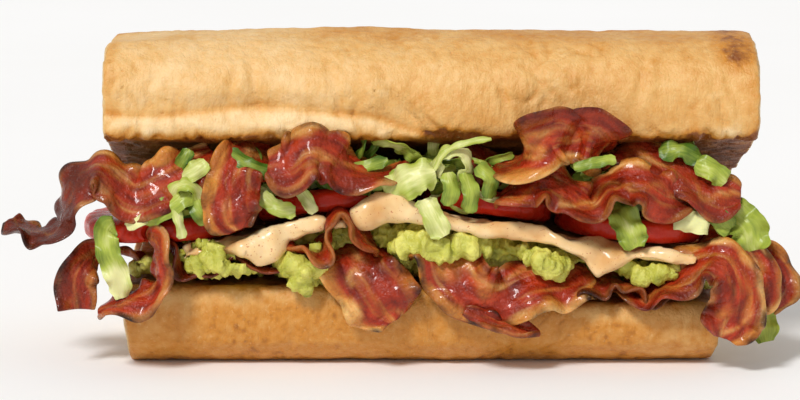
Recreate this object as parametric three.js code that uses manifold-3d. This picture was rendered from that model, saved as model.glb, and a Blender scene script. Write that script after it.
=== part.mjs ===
// A submarine sandwich: one soft roll, slit along its front and still joined along its back, opened and
// filled with bacon, mashed avocado, a pale sauce, tomato slices, shredded lettuce and more bacon.
// Millimetres, +Z up. The open side faces -Y, X runs along the roll, and the roll's flat base is at Z = 0.
import * as THREE from "three";
import { mergeVertices } from "three/addons/utils/BufferGeometryUtils.js";
import Module from "manifold-3d";

const wasm = await Module();
wasm.setup();

// Driving dimensions of the roll
const rollHalfLength = 100; // half of an eight inch sub
const rollStations = 26;
const baseHalfLengths = { left: 93.6, right: 88.2 }; // the ends lean in towards the base
const endLeanHeight = 76; // above this height the ends are upright
const endSoftness = 0.9; // how far the crust rounds in at each end
const endRounding = 3.5; // over this length
const baseEdges = { front: -25, back: 22 };
const cutHeights = { left: 26, right: 20.5 }; // lower cut edge, higher on the left
const hingeFace = 25; // where the slit stops, short of the back crust
const backFace = 37;
const crownHeight = 101;
const lipHeight = 71; // front edge of the raised top half
const seamHeight = 80; // crease along the top half's front
const seamDepth = 2.8;

// Sizes of the fillings
const baconThickness = 2.6;
const lettuceThickness = 1.1;
const tomatoThickness = 7;
const gapBetweenPieces = 0.35; // how far a neighbour is grown before it is cut away
const gapBetweenLayers = 0.9;

const endWidthShare = 0.72; // strips narrow a little at their ends
const widthUnevenness = 0.06;
const leastAdvance = 0.5; // least step between a strip's sections on the inside of a bend
const mergeDistance = 1e-3;
const stripStep = 4.6; // distance between a strip's sections
const deg = Math.PI / 180;
const front = new THREE.Vector3(0, -1, 0);

// Small repeatable variation, the same on every run
function seeded(seed) {
  let state = seed;
  return () => {
    state = (state * 16807) % 2147483647;
    return state / 2147483647;
  };
}

const smooth = (t) => {
  const c = Math.min(1, Math.max(0, t));
  return c * c * (3 - 2 * c);
};
const mix = (a, b, t) => a + (b - a) * t;

// Closed body through rings of equal length, with both ends capped as the flat outline shows.
// No three neighbours of the outline lie in line, because the triangulation skips such points.
function loft(rings, outline) {
  const count = rings[0].length;
  const positions = rings.flat().flatMap((p) => [p.x, p.y, p.z]);
  const faces = [];
  for (let i = 0; i < rings.length - 1; i++) {
    for (let j = 0; j < count; j++) {
      const a = i * count + j;
      const b = i * count + ((j + 1) % count);
      faces.push(a, b, a + count, b, b + count, a + count);
    }
  }
  const last = (rings.length - 1) * count;
  const clockwise = THREE.ShapeUtils.isClockWise(outline);
  for (const [a, b, c] of THREE.ShapeUtils.triangulateShape(outline, [])) {
    if (clockwise) faces.push(a, b, c, last + a, last + c, last + b);
    else faces.push(a, c, b, last + a, last + b, last + c);
  }
  const geometry = new THREE.BufferGeometry();
  geometry.setAttribute("position", new THREE.Float32BufferAttribute(positions, 3));
  geometry.setIndex(faces);
  return geometry;
}

// Flat outline of a slab, marked across by numbers from -1 to 1, then back along its other face
function slabOutline(marks) {
  const bulge = (v) => 1.2 - 0.2 * v * v;
  const upper = marks.map((v) => new THREE.Vector2(v, bulge(v)));
  const lower = marks.map((v) => new THREE.Vector2(v, -bulge(v))).reverse();
  return [...upper, ...lower];
}

// Turns faces outwards if the winding came out reversed
function facingOut(geometry) {
  const position = geometry.attributes.position;
  const [a, b, c] = [new THREE.Vector3(), new THREE.Vector3(), new THREE.Vector3()];
  const index = geometry.index.array;
  let volume = 0;
  for (let i = 0; i < index.length; i += 3) {
    a.fromBufferAttribute(position, index[i]);
    b.fromBufferAttribute(position, index[i + 1]);
    c.fromBufferAttribute(position, index[i + 2]);
    volume += a.dot(b.cross(c));
  }
  if (volume < 0) {
    for (let i = 0; i < index.length; i += 3) {
      [index[i + 1], index[i + 2]] = [index[i + 2], index[i + 1]];
    }
  }
  return geometry;
}

// Only positions, with shared corners merged
function bare(geometry) {
  const copy = geometry.clone();
  copy.deleteAttribute("normal");
  copy.deleteAttribute("uv");
  return facingOut(mergeVertices(copy, mergeDistance));
}

// The same shape grown along its own normals
function grown(geometry, distance) {
  const copy = bare(geometry);
  copy.computeVertexNormals();
  const { position, normal } = copy.attributes;
  for (let i = 0; i < position.count; i++) {
    position.setXYZ(
      i,
      position.getX(i) + normal.getX(i) * distance,
      position.getY(i) + normal.getY(i) * distance,
      position.getZ(i) + normal.getZ(i) * distance,
    );
  }
  return copy;
}

function solidOf(geometry) {
  const merged = bare(geometry);
  return new wasm.Manifold(
    new wasm.Mesh({
      numProp: 3,
      vertProperties: new Float32Array(merged.attributes.position.array),
      triVerts: new Uint32Array(merged.index.array),
    }),
  );
}

function geometryOf(solid) {
  const mesh = solid.getMesh();
  const geometry = new THREE.BufferGeometry();
  geometry.setAttribute("position", new THREE.BufferAttribute(mesh.vertProperties, 3));
  geometry.setIndex(new THREE.BufferAttribute(mesh.triVerts, 1));
  geometry.computeVertexNormals();
  return geometry;
}

// The largest body of a solid, once close corners are merged: hollows and scraps are left behind
function largestBody(solid) {
  const bodies = solidOf(geometryOf(solid)).decompose();
  return bodies.sort((a, b) => b.volume() - a.volume())[0];
}

// The roll's lower cut face and its ends, as functions of where they are
const lowerEdge = (x) => mix(cutHeights.left, cutHeights.right, smooth((x + 30) / 85));
const lowerCut = (x, y) => mix(lowerEdge(x), 27, smooth((y + 35) / 52));
const endReach = (x, z) => {
  const base = x < 0 ? baseHalfLengths.left : baseHalfLengths.right;
  return mix(base, rollHalfLength, smooth(z / endLeanHeight));
};

// Height of the crease on the top half's front: level on the left, then down to the lip
const seamLine = (x) => seamHeight - 9 * smooth((x + 22) / 30) + 1.2 * Math.sin(x / 11);

// Named stretches of the roll's outline at one station, each an open spline of (y, z) with its point count
function rollOutline(x) {
  const cut = lowerEdge(x);
  const cutPoints = [-35, -18, 0, 17].map((y) => [y, lowerCut(x, y)]);
  const lip = lipHeight + 2 * smooth(1 - Math.abs(x - 28) / 22);
  const crown = crownHeight + 1.2 * Math.sin((x + 60) / 26) - 2 * smooth((-x - 70) / 30);
  return [
    { count: 4, points: [[baseEdges.back, 0], [0, 0], [baseEdges.front, 0]] },
    {
      count: 6,
      points: [[baseEdges.front, 0], [-34, 5], [-37.5, cut * 0.55], [-37.5, cut - 3], [-35, cut]],
    },
    { count: 5, points: cutPoints },
    { count: 3, points: [[17, 27], [hingeFace - 1, 31], [hingeFace, 39], [20, 48]] },
    { count: 5, points: [[20, 48], [0, 57], [-18, 64.5], [-35.5, lip - 0.5]] },
    {
      count: 12,
      points: [[-35.5, lip - 0.5], [-38, lip + 1], [-39.5, 76], [-38.5, 86], [-34, 94], [-24, 99.5],
        [-10, crown]],
    },
    {
      count: 9,
      points: [[-10, crown], [6, 99], [20, 91], [31, 76], [36, 58], [backFace, 40], [backFace - 1, 20],
        [31, 6], [baseEdges.back, 0]],
    },
  ];
}

function rollRing(x) {
  const ring = [];
  for (const { count, points } of rollOutline(x)) {
    const spline = new THREE.SplineCurve(points.map(([y, z]) => new THREE.Vector2(y, z)));
    for (let i = 0; i < count; i++) ring.push(spline.getPoint(i / count));
  }
  return ring;
}

// The roll as one solid: crust with its crease, soft ends, and the slit that opens at the front
function rollGeometry() {
  const rings = [];
  let outline;
  for (let i = 0; i < rollStations; i++) {
    const u = (i / (rollStations - 1)) * 2 - 1;
    const x = rollHalfLength * Math.sin((u * Math.PI) / 2.2) / Math.sin(Math.PI / 2.2);
    const ring = rollRing(x);
    outline = ring.map((p) => new THREE.Vector2(p.x, p.y > 0 ? p.y : -0.01 * (1 - (p.x / 26) ** 2)));
    const softEnd = endSoftness * smooth((Math.abs(x) - (rollHalfLength - endRounding)) / endRounding);
    rings.push(ring.map((p) => {
      const onFront = smooth((-p.x - 30) / 6) * smooth((p.y - lipHeight - 2) / 3);
      const seam = seamDepth * Math.exp(-(((p.y - seamLine(x)) / 2.6) ** 2)) * smooth((20 - x) / 30);
      const wrinkle = 0.5 * Math.sin(x / 3.1 + p.y / 9) + 0.5 * Math.sin(x / 7.3 - p.y / 5);
      const inward = onFront * (seam + wrinkle) + softEnd;
      const inSlit = p.x < hingeFace + 1 && p.x > -35 && p.y > lowerEdge(x) - 1 && p.y < lipHeight - 1;
      const outerWall = p.y > 0.01 && !inSlit;
      const y = outerWall ? p.x - inward * Math.sign(p.x) * Math.min(1, Math.abs(p.x) / 30) : p.x;
      const z = outerWall && p.y > 85 ? p.y - softEnd : p.y;
      return new THREE.Vector3((x / rollHalfLength) * endReach(x, z), y, z);
    }));
  }
  return facingOut(loft(rings, outline));
}

// On the inside of a tight bend a strip bunches up instead of passing through itself
function keepAdvancing(previous, ring, along) {
  ring.forEach((point, j) => {
    const advance = point.clone().sub(previous[j]).dot(along);
    if (advance < leastAdvance) point.addScaledVector(along, leastAdvance - advance);
  });
}

// A strip of bacon or a shred of leaf. Each path point is [x, y, z, turn]: turn 0 shows the viewer in front
// only the strip's edge, and 90 shows its whole face, with the front edge towards the right of travel.
function strip({ path, width, thickness, cup = 0, ruffle = 0, waves = 2, across = 1 }) {
  const centre = new THREE.CatmullRomCurve3(
    path.map(([x, y, z]) => new THREE.Vector3(x, y, z)), false, "catmullrom", 0.5);
  const turns = new THREE.CatmullRomCurve3(
    path.map((p) => new THREE.Vector3(p[3], 0, 0)), false, "catmullrom", 0.5);
  const steps = Math.max(4, Math.round(centre.getLength() / stripStep));
  const marks = Array.from({ length: across + 1 }, (_, j) => (2 * j) / across - 1);
  const rings = [];
  for (let i = 0; i <= steps; i++) {
    const t = i / steps;
    const point = centre.getPoint(t);
    const along = centre.getTangent(t);
    const toFront = front.clone().addScaledVector(along, -along.dot(front)).normalize();
    const side = along.clone().cross(toFront);
    const turn = turns.getPoint(t).x * deg;
    const wide = toFront.multiplyScalar(Math.cos(turn)).addScaledVector(side, Math.sin(turn));
    const normal = wide.clone().cross(along);
    const narrowEnds = mix(endWidthShare, 1, smooth(Math.min(t, 1 - t) * 9));
    const halfWidth = (width / 2) * narrowEnds * (1 + widthUnevenness * Math.sin(9 * t));
    const place = (v, face) => {
      const bent = cup * (v * v - 0.4) + ruffle * v * Math.sin(2 * Math.PI * waves * t);
      const lift = bent + (face * thickness) / 2;
      return point.clone().addScaledVector(wide, v * halfWidth).addScaledVector(normal, lift);
    };
    const ring = [...marks.map((v) => place(v, 1)), ...marks.map((v) => place(-v, -1))];
    if (i > 0) keepAdvancing(rings[i - 1], ring, centre.getTangent((i - 0.5) / steps));
    rings.push(ring);
  }
  return facingOut(loft(rings, slabOutline(marks)));
}

// How the filling's layers rise from the hinge to the open front
const towardsFront = (y) => Math.max(0, (20 - y) / 57);

const depthMarks = [0, 0.45, 0.82, 1]; // from the back of a layer to its front edge

// A layer of the filling: an uneven slab along X between two heights, with a wavy front edge
function layer({ from, to, back, frontEdge, bottom, top, steps = 13, waviness = 1 }) {
  const rings = [];
  for (let i = 0; i <= steps; i++) {
    const t = i / steps;
    const x = mix(from, to, t);
    const edge = frontEdge + waviness * (Math.sin(x / 6.5) + 0.6 * Math.sin(x / 3.7 + 2));
    const narrow = 1 - 0.35 * smooth((Math.abs(2 * t - 1) - 0.9) / 0.1);
    const place = (s, share) => {
      const y = mix(back, edge * narrow, s);
      return new THREE.Vector3(x, y, mix(bottom(x, y), top(x, y), share));
    };
    const rim = (j) => (j % (depthMarks.length - 1) ? 0 : 0.25);
    rings.push([
      ...depthMarks.map((s, j) => place(s, 1 - rim(j))),
      ...depthMarks.map((s, j) => place(s, rim(j))).reverse(),
    ]);
  }
  return facingOut(loft(rings, slabOutline(depthMarks.map((s) => 2 * s - 1))));
}

// Heights of the boundaries between the layers
const tomatoFront = (x) => 38 + 13.5 * Math.exp(-(((x + 8) / 47) ** 2));
const tomatoBase = (x, y) => mix(36.5, tomatoFront(x), towardsFront(y));
const sauceTop = (x, y) => tomatoBase(x, y) - 2.2 * gapBetweenLayers;
const sauceBase = (x, y) => sauceTop(x, y) - mix(0.9, 3, towardsFront(y));
const mashTop = (x, y) => sauceBase(x, y) - gapBetweenLayers;
const mashBase = (x, y) => lowerCut(x, y) + 1.5 * gapBetweenLayers + 4 * smooth((-y - 24) / 10);
const leafBase = (x, y) => tomatoBase(x, y) + tomatoThickness + 2 * gapBetweenLayers;

// A tomato slice: a disc with a rounded rim, tilted to lie on the layer below
function tomatoSlice({ x, y, radius }) {
  const half = tomatoThickness / 2;
  const profile = [[0, -half], [radius - 1.6, -half], [radius, -half + 1.6], [radius, half - 1.6],
    [radius - 1.6, half], [0, half]].map(([r, h]) => new THREE.Vector2(r, h));
  const geometry = new THREE.LatheGeometry(profile, 22);
  const slopeX = (tomatoBase(x + radius, y) - tomatoBase(x - radius, y)) / (2 * radius);
  const slopeY = (tomatoBase(x, y + radius) - tomatoBase(x, y - radius)) / (2 * radius);
  const up = new THREE.Vector3(-slopeX, -slopeY, 1).normalize();
  const turn = new THREE.Quaternion().setFromUnitVectors(new THREE.Vector3(0, 1, 0), up);
  geometry.applyQuaternion(turn);
  geometry.translate(x, y, tomatoBase(x, y) + half + 0.2);
  return geometry;
}

const colours = {
  crust: { color: 0xd9a869, roughness: 0.62 },
  bacon: { color: 0x9c2f1c, roughness: 0.32 },
  tomato: { color: 0xc02a1c, roughness: 0.25 },
  sauce: { color: 0xf2cfa0, roughness: 0.3 },
  mash: { color: 0xa9b743, roughness: 0.45 },
  leaf: { color: 0x9cba4e, roughness: 0.4 },
};
const materials = {};
for (const [name, look] of Object.entries(colours)) {
  materials[name] = new THREE.MeshStandardMaterial({ ...look, metalness: 0 });
}

// Every placed piece keeps grown copies of its parts, and each later piece is cut back from them
const sandwich = new THREE.Group();
const placed = [];

function addPiece(name, material, parts) {
  const joined = wasm.Manifold.union(parts.map(solidOf));
  const box = joined.boundingBox();
  const near = placed.filter(({ box: other }) =>
    [0, 1, 2].every((k) => box.min[k] < other.max[k] && box.max[k] > other.min[k]));
  let rest = joined;
  for (const { wrapped } of near) rest = rest.subtract(wasm.Manifold.union(wrapped));
  for (const { body: other } of near) rest = rest.subtract(other);
  const body = largestBody(largestBody(rest));
  const mesh = new THREE.Mesh(geometryOf(body), materials[material]);
  mesh.name = name;
  sandwich.add(mesh);
  const wrapped = parts.map((part) => solidOf(grown(part, gapBetweenPieces)));
  placed.push({ box, body, wrapped });
}

const bacon = (name, shape) => addPiece(name, "bacon", [strip({ thickness: baconThickness, ...shape })]);

addPiece("roll", "crust", [rollGeometry()]);

// Bacon that shows in front comes first, so that it stays whole.
// Lower row: strips lying on the cut face and hanging over the front of the roll's lower half
bacon("bacon_low_fold_left", {
  across: 2, width: 14, ruffle: 0.8, cup: -1,
  path: [[-101, -41, 19, 32], [-93.5, -43.5, 22, 27], [-86.5, -44.5, 23.5, 24], [-82.5, -44.5, 27, 28],
    [-81.5, -43, 32.5, 32], [-82.5, -41, 38, 28], [-85, -35, 39.5, 20]],
});
bacon("bacon_low_slab", {
  across: 2, width: 24, ruffle: 1.4, waves: 1.2, cup: -1.2,
  path: [[-30, -25, 36, 20], [-25, -35, 35, 50], [-20, -41.5, 29.5, 78], [-15, -43.5, 22.5, 90],
    [-11, -43, 16.5, 95]],
});
bacon("bacon_low_wave", {
  across: 2, width: 20, ruffle: 2.4, waves: 1.8,
  path: [[-1, -27, 38, 20], [3, -37, 36.5, 55], [8, -42.5, 29.5, 80], [15, -44.5, 24.5, 80],
    [22, -43.5, 24, 72], [31, -41, 27, 60], [41, -37, 27.5, 40], [49, -32, 28.5, 20]],
});
bacon("bacon_low_tail", {
  width: 6, ruffle: 0.5,
  path: [[10, -46.5, 20.5, 60], [17, -47, 17.5, 50], [25, -46, 14.5, 40], [33, -44.5, 13, 30]],
});
bacon("bacon_low_arch", {
  across: 2, width: 18, ruffle: 0.8, cup: 1,
  path: [[58, -30, 24.5, 10], [67, -37, 25, 25], [75, -41, 29, 25], [83, -44, 35, 35],
    [90, -46, 33, 60], [92.5, -47, 25, 80], [91, -46, 17, 90], [89, -44.5, 11, 95]],
});
bacon("bacon_low_arch_behind", {
  across: 2, width: 15, ruffle: 0.8, cup: 1,
  path: [[78, -28, 35, 10], [86, -34, 39, 30], [93, -37, 38.5, 55], [98, -38, 32, 80],
    [99, -38, 25, 90], [97, -36, 19, 95]],
});
bacon("bacon_low_curl_right", {
  across: 2, width: 13, cup: 1.4,
  path: [[92, -22, 30, 20], [99, -27, 31.5, 40], [105, -31, 31, 65], [107, -33, 25, 80],
    [103, -33, 18, 90]],
});
bacon("bacon_low_hanging_left", {
  across: 2, width: 12.5, cup: 1.5,
  path: [[-90, -22, 32, 10], [-97, -29, 34.5, 30], [-103.5, -34, 35, 60], [-108, -37, 28.5, 80],
    [-108, -37, 18.5, 88]],
});
bacon("bacon_low_curl", {
  width: 15, ruffle: 0.6,
  path: [[-43, -38, 40, 5], [-38, -39, 37, 5], [-33, -40, 36, 5], [-31.5, -40, 41, 5],
    [-31, -40, 46, 5], [-27.5, -40, 49.5, 5], [-23.5, -40, 47, 5], [-21, -39, 41, 5],
    [-17, -36, 36.5, 5]],
});
bacon("bacon_low_ribbon_left", {
  width: 19, ruffle: 0.6,
  path: [[-80, -32, 41, 10], [-77.5, -33, 35, 8], [-74, -33, 30, 6], [-68, -33, 31, 4],
    [-60, -33, 34.5, 4], [-53, -33, 34, 4], [-46, -31, 30.5, 4], [-40, -28, 28.8, 4]],
});
bacon("bacon_low_ribbon_right", {
  width: 19, ruffle: 0.5,
  path: [[38, -32, 23.5, 4], [45, -33, 23, 4], [51, -34, 26, 4], [56, -34, 27, 4],
    [61, -34, 25.5, 4], [66, -33, 22.8, 4], [75, -31, 22.8, 4]],
});

// Upper row: strips between the lettuce and the raised top half
bacon("bacon_top_left", {
  across: 2, width: 18, ruffle: 0.8, waves: 1.5,
  path: [[-128.5, -31, 45.5, 12], [-124, -33, 43, 10], [-119, -34.5, 41.5, 10], [-113.5, -36, 43.5, 16],
    [-110, -37, 51, 30], [-106, -37.5, 58.5, 28], [-100.5, -38, 62, 30], [-95, -38.5, 58, 45],
    [-89.5, -39, 54.5, 62], [-82, -39, 57, 70], [-74, -37, 62, 62], [-66, -30, 66, 45]],
});
bacon("bacon_top_tongue", {
  across: 2, width: 17.5, ruffle: 1, cup: -1.4,
  path: [[-44, -22, 62, -10], [-51, -31, 65, -40], [-58, -38.5, 64, -75], [-60, -43, 57, -90],
    [-60, -45, 50, -92], [-58, -44.5, 44.5, -95]],
});
bacon("bacon_top_crest", {
  across: 2, width: 19, ruffle: 1.2, waves: 1.4,
  path: [[-49, -42, 64, 62], [-43, -44.5, 64.5, 66], [-36.5, -45, 68.5, 58], [-30.5, -43.5, 67, 45],
    [-25, -41, 62.5, 35], [-18, -37, 61.5, 25], [-9, -31, 63, 15]],
});
bacon("bacon_top_upright", {
  width: 18, ruffle: 0.6,
  path: [[20, -33, 63, 5], [25, -39, 64.5, 12], [29, -45, 67.5, 50], [33, -48.5, 72.5, 85],
    [37, -48.5, 74, 92], [40.5, -45, 73.5, 92], [42.5, -42.5, 73, 92], [45, -45, 73.5, 95],
    [48, -46.5, 73, 95], [50.5, -43.5, 71, 80], [51.5, -37, 67.5, 50], [51, -30, 64.5, 20]],
});
bacon("bacon_top_wave", {
  width: 17, ruffle: 0.6, waves: 2.5,
  path: [[20, -36, 53, 15], [26, -41.5, 56.5, 28], [31, -43, 59, 30], [36, -43.5, 59, 36],
    [41, -44, 55.5, 38], [46, -45, 52.5, 36], [50, -44.5, 53, 32], [54, -43.5, 56.5, 28],
    [59, -43, 59, 36], [65, -43, 58, 50], [71, -42, 54.5, 55], [78, -38, 52.5, 45]],
});
bacon("bacon_top_right", {
  width: 17, ruffle: 1, waves: 2,
  path: [[50, -25, 63, 15], [58, -29, 66, 25], [65, -32, 66, 40], [72, -35, 63, 52],
    [80, -37.5, 58, 55], [87, -38, 54.5, 50], [94, -37, 53.5, 45]],
});
bacon("bacon_top_middle", {
  width: 13, ruffle: 0.8,
  path: [[5, -20, 65, 10], [11, -26, 66, 20], [17, -31, 62, 50], [18, -33, 56, 70]],
});

// Tomato slices in a row along the roll
const tomatoes = [
  { x: -81.5, y: -12.5, radius: 26.5 },
  { x: -29, y: -14, radius: 25 },
  { x: 17.2, y: -17, radius: 20.5 },
  { x: 63.5, y: -14.5, radius: 25 },
];
tomatoes.forEach((slice, i) => addPiece("tomato_slice_" + (i + 1), "tomato", [tomatoSlice(slice)]));

// Leaf pieces that lie apart from the shredded heap
const leaf = (name, shape) => addPiece(name, "leaf",
  [strip({ thickness: lettuceThickness, ruffle: 0.7, ...shape })]);
leaf("lettuce_strip_left", {
  width: 7.5,
  path: [[-96, -40.5, 46.5, 62], [-98, -43.5, 44, 78], [-97.5, -45, 38, 88], [-95, -44.5, 31, 90],
    [-93.5, -43.5, 23.5, 90]],
});
leaf("lettuce_leaf_end", {
  width: 12, cup: 1.5,
  path: [[84, -28, 50, 30], [90, -35, 48, 60], [96, -38, 44, 80], [98, -38, 37, 90]],
});
leaf("lettuce_shred_low_right", {
  width: 9, cup: 1,
  path: [[93, -30, 33, 60], [98, -33, 26, 80], [101, -34, 18, 90], [103, -35, 8, 95]],
});
leaf("lettuce_sliver_top", {
  width: 3.6,
  path: [[42.5, -49.5, 64.6, 60], [47, -50.5, 65.8, 60], [51, -50, 66.6, 60], [55, -48.5, 66.8, 60]],
});
leaf("lettuce_leaf_front", {
  width: 9, cup: 0.8,
  path: [[53, -35, 51.5, 30], [57, -41, 49.5, 65], [60, -44, 44, 85], [62, -43.5, 39, 90]],
});

// Sauce over the mash: a thin sheet under the tomato, with a lip along the front that runs down in drips
const drips = [
  { x: -49, half: 8, depth: 6.5 }, { x: 12, half: 12, depth: 1.5 }, { x: 51, half: 8, depth: 6.5 },
  { x: 78, half: 8, depth: 1 },
];
const swells = [
  { x: -13, half: 17, height: 6.5 }, { x: -40, half: 14, height: 3 }, { x: 30, half: 20, height: 4 },
  { x: 70, half: 14, height: 1.5 },
];
const lipDepth = 3.4;
const lipStart = -58; // left of this the sauce stays behind the mash
const lipShare = (x) => smooth((x - lipStart + 8) / 8);
const lipFront = -43.6;
const coveredFront = -41.3; // where the sauce ends behind the mash
const lipWidths = { covered: 1.6, full: 3 };
const hump = (x, middle, half) => smooth(1 - Math.abs(x - middle) / half);
const lipTop = (x) => swells.reduce((z, s) => z + s.height * hump(x, s.x, s.half), sauceTop(x, -38));
const lipBottom = (x) =>
  drips.reduce((z, d) => z - d.depth * hump(x, d.x, d.half), sauceTop(x, -38) - lipDepth);
const lipBack = -38.6; // the mash stays behind this while the lip covers it
const sauceReach = { left: -75, right: 86 };
const sauceStations = 28;
const sauceRings = Array.from({ length: sauceStations }, (_, i) => {
  const x = mix(sauceReach.left, sauceReach.right, i / (sauceStations - 1));
  const lipOut = lipFront - 0.8 * Math.sin(x / 5.3) - 0.6 * Math.sin(x / 3.1 + 1);
  const out = mix(coveredFront, lipOut, lipShare(x));
  const lipWidth = mix(lipWidths.covered, lipWidths.full, lipShare(x));
  const [high, low] = [lipTop(x), lipBottom(x)];
  return [
    ...[17, 0, -20, -35].map((y) => [y, sauceTop(x, y)]),
    [lipBack - 0.6, sauceTop(x, lipBack)], [out + lipWidth, high],
    [out + lipWidth / 3, high - 0.6], [out, (high + low) / 2],
    [out - 0.3, low + 1.6], [out + 1.6, low], [lipBack, low + 0.9], [lipBack + 0.6, sauceBase(x, lipBack)],
    ...[-20, 17].map((y) => [y, sauceBase(x, y)]),
  ].map(([y, z]) => new THREE.Vector3(x, y, z));
});
const sideOutline = (ring) => ring.map((p) => new THREE.Vector2(p.y, p.z));
addPiece("sauce", "sauce", [facingOut(loft(sauceRings, sideOutline(sauceRings[0])))]);

// Mashed avocado: one lumpy body through the roll, which swells out of the front between the bacon strips
const mounds = [
  { x: -64, half: 26, low: 28, out: 45.5 }, { x: -37.5, half: 11, low: 21, out: 46.5 },
  { x: 3, half: 34, low: 32, out: 43.5 }, { x: 36, half: 12, low: 28, out: 43.5 },
  { x: 70, half: 27, low: 27, out: 43 },
];
const recess = 31; // where the front of the mash lies behind the bacon
const leftRise = { x: -68, half: 20, height: 9 }; // heaped up in front of the first tomato slice
const frontLimits = { free: -50, behindLip: -37.6 };
const mashStations = 34;
const lumpDraw = seeded(4321);
const lumpSize = 1.3;
const frontShares = [0, 0.22, 0.48, 0.76, 1]; // down the front of the mash
const mashRings = Array.from({ length: mashStations }, (_, i) => {
  const x = mix(-91, 87, i / (mashStations - 1));
  const swell = (key, base) =>
    mounds.reduce((value, m) => value + (m[key] - base) * hump(x, m.x, m.half), base);
  const reach = swell("out", recess);
  const low = Math.min(swell("low", 31), 34);
  const rise = leftRise.height * (1 - lipShare(x)) * hump(x, leftRise.x, leftRise.half);
  const high = mashTop(x, -36);
  const ring = [[18, mashBase(x, 18)], [18, mashTop(x, 18)], ...[0, -20].map((y) => [y, mashTop(x, y)])];
  for (const share of frontShares) {
    const angle = (share - 0.5) * Math.PI;
    const uneven = lumpSize * (2 * lumpDraw() - 1);
    const onFront = share > 0 && share < 1;
    const z = mix(high, low, share) + (onFront ? 0.6 * uneven + rise * (1 - share) : 0);
    const y = -recess + 3 - (reach - recess + 3) * Math.cos(angle) ** 0.6 - uneven;
    const limit = mix(frontLimits.free, frontLimits.behindLip, lipShare(x));
    ring.push([z > lipBottom(x) - 1 ? Math.max(y, limit) : y, z]);
  }
  ring.push([-26, mashBase(x, -26)], [-4, mashBase(x, -4)]);
  return ring.map(([y, z]) => new THREE.Vector3(x + 0.8 * (2 * lumpDraw() - 1), y, z));
});
addPiece("avocado_mash", "mash", [facingOut(loft(mashRings, sideOutline(mashRings[0])))]);

// Shredded lettuce: an uneven core over the tomato with the shreds that show fused on
const leafTop = (x, y) => leafBase(x, y) + mix(2, 4.5, towardsFront(y)) + Math.sin(x / 9) * 0.7;
const shreds = [
  // between the left bacon and the tongue
  { width: 4, path: [[-77, -36, 61, 70], [-75, -38, 65, 80], [-73, -37, 68, 80]] },
  { width: 6, path: [[-75, -40, 60, 60], [-71, -41, 62.5, 70], [-68, -40, 65, 60]] },
  { width: 5, path: [[-79, -40, 54, 60], [-76, -43, 58, 40], [-72, -43, 58, 40], [-68, -42, 53, 70]] },
  { width: 7, path: [[-88, -40, 48, 80], [-82, -43, 50, 70], [-77, -43, 53, 60], [-73, -42, 56, 60]] },
  { width: 7, path: [[-71.5, -41.5, 55.5, 80], [-69.5, -43, 51, 85], [-66, -42, 47, 80]] },
  // behind the tongue and the crest
  { width: 5, path: [[-62, -37, 67.5, 60], [-56, -39, 64, 65], [-50, -39, 61.5, 65], [-46, -38, 60, 60]] },
  { width: 4, path: [[-33, -37, 59, 60], [-27, -39, 61, 60], [-20, -39, 63, 60], [-13, -38, 65, 60]] },
  { width: 4.5, path: [[-25, -38, 58, 60], [-18, -40, 58, 60], [-11, -40, 60, 60], [-6, -39, 62, 60]] },
  // the heap in the middle: a broad piece, a loop, a long curl and hanging shreds
  { width: 10, path: [[-13, -41, 54, 80], [-9, -43, 58, 75], [-4, -43.5, 61, 70], [1, -42, 62, 60]] },
  {
    width: 5,
    path: [[2.6, -40.5, 60, 35], [1.8, -41, 65, 35], [5, -42, 68.5, 35], [10, -42, 67.5, 35],
      [11.5, -42, 63, 35], [8, -41, 59, 35]],
  },
  { width: 3, path: [[1, -42, 62.5, 50], [4, -43.5, 68, 50], [10, -44, 71, 50], [18, -43, 72.2, 50]] },
  { width: 5, path: [[5, -43, 62, 70], [6, -44.5, 57, 80], [5, -44, 52, 85]] },
  { width: 5, path: [[10, -43, 62, 60], [12, -45, 56, 75], [11, -44, 50, 85]] },
  { width: 5, path: [[14, -42, 64, 60], [18, -43, 60, 70], [17, -42, 54, 80]] },
  { width: 7, path: [[-2, -43, 54, 80], [0.5, -45.5, 49, 88], [4, -46, 43, 90]] },
  // above and below the bacon on the right
  { width: 6, path: [[69, -36, 67, 60], [75, -37, 68, 60], [82, -36, 65, 60]] },
  { width: 6.5, path: [[80, -38, 64, 70], [85, -39, 62, 70], [89, -38, 58, 80]] },
  { width: 7.5, path: [[74, -40, 48, 80], [79, -42, 46.5, 85], [84, -41, 47, 80]] },
];
const rootDepth = -26; // each shred starts inside the core
const shredStrip = ({ path, width }) => {
  const [x, , , turn] = path[0];
  const root = [x, rootDepth, leafBase(x, rootDepth) + 2, turn];
  return strip({ path: [root, ...path], width, thickness: lettuceThickness });
};
addPiece("lettuce_shredded", "leaf", [
  layer({ from: -97, to: 92, back: 16, frontEdge: -30, bottom: leafBase, top: leafTop }),
  ...shreds.map(shredStrip),
]);

export default sandwich;
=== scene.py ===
import bpy
import math
import random
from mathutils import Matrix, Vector, noise


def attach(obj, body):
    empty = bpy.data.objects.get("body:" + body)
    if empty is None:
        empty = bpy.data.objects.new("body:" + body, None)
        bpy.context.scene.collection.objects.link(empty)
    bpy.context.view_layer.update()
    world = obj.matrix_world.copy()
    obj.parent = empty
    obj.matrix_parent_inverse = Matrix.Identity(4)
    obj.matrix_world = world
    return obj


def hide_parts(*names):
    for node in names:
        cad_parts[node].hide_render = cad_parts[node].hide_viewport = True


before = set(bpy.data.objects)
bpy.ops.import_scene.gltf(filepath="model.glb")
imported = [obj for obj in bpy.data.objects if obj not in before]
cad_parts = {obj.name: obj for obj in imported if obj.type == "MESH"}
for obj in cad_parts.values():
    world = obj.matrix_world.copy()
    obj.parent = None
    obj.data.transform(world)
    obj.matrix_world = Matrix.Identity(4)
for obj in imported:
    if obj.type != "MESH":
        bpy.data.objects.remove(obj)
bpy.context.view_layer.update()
mm = 0.001
print("frame loaded")


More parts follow.
